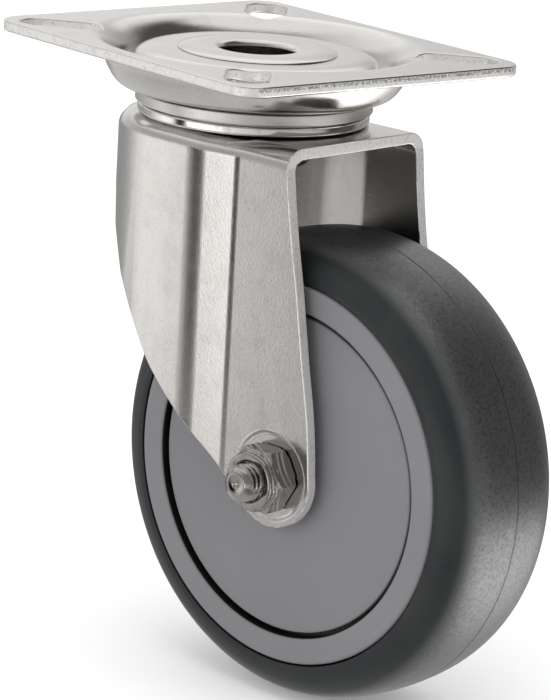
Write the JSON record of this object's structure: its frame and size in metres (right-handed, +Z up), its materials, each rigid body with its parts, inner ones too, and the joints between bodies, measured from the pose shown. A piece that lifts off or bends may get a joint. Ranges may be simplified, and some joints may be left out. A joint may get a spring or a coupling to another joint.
{
  "type": "gate wheel",
  "caption": "Swivel gate wheel: slotted square-cornered top plate on a ball-bearing swivel head, pressed steel fork and a soft-tyred wheel on a bolted axle.",
  "frame": {"origin": "on the swivel axis, level with the upper face of the top plate", "axes": "+Z up along the swivel axis, +X along the plate's longer side and roughly the way the wheel trails, +Y across"},
  "size_m": [0.1225, 0.076, 0.1352],
  "materials": {
    "pressed_steel": "tumbled stainless steel, soft sheen",
    "bright_steel": "bright turned steel",
    "bearing_steel": "ground bearing steel",
    "inner_steel": "plain zinc-plated steel",
    "nylon": "natural nylon",
    "wheel_plastic": "mid-grey moulded plastic",
    "cover_plastic": "mid-grey moulded plastic, fine texture",
    "tyre": "anthracite thermoplastic rubber, satin"
  },
  "bodies": {
    "plate": {"top_plate": "pressed_steel", "kingpin": "pressed_steel", "upper_race": "bearing_steel", "lower_cup": "pressed_steel", "lower_balls": "bearing_steel"},
    "swivel_fork": {"fork": "pressed_steel", "fork_race": "bright_steel", "head_seal": "pressed_steel", "upper_balls": "bearing_steel", "axle_bolt": "bright_steel", "lock_nut": "bright_steel", "lock_nut_insert": "nylon", "axle_sleeve": "inner_steel", "bearing_spacer": "inner_steel", "end_collar_near": "inner_steel", "end_collar_far": "inner_steel", "bearing_inner_near": "bearing_steel", "bearing_inner_far": "bearing_steel"},
    "road_wheel": {"wheel_centre": "wheel_plastic", "tyre": "tyre", "bearing_outer_near": "bearing_steel", "bearing_balls_near": "bearing_steel", "cover_near": "cover_plastic", "bearing_outer_far": "bearing_steel", "bearing_balls_far": "bearing_steel", "cover_far": "cover_plastic", "shield_near_out": "inner_steel", "shield_near_in": "inner_steel", "shield_far_out": "inner_steel", "shield_far_in": "inner_steel"}
  },
  "joints": [
    {"name": "swivel", "type": "hinge", "parent": "plate", "child": "swivel_fork", "pos_m": [0, 0, -0.016], "axis": [0, 0, 1], "continuous": true},
    {"name": "wheel_spin", "type": "hinge", "parent": "swivel_fork", "child": "road_wheel", "pos_m": [0.02935, 0.00386, -0.0852], "axis": [-0.1305, 0.9914, 0], "continuous": true}
  ]
}
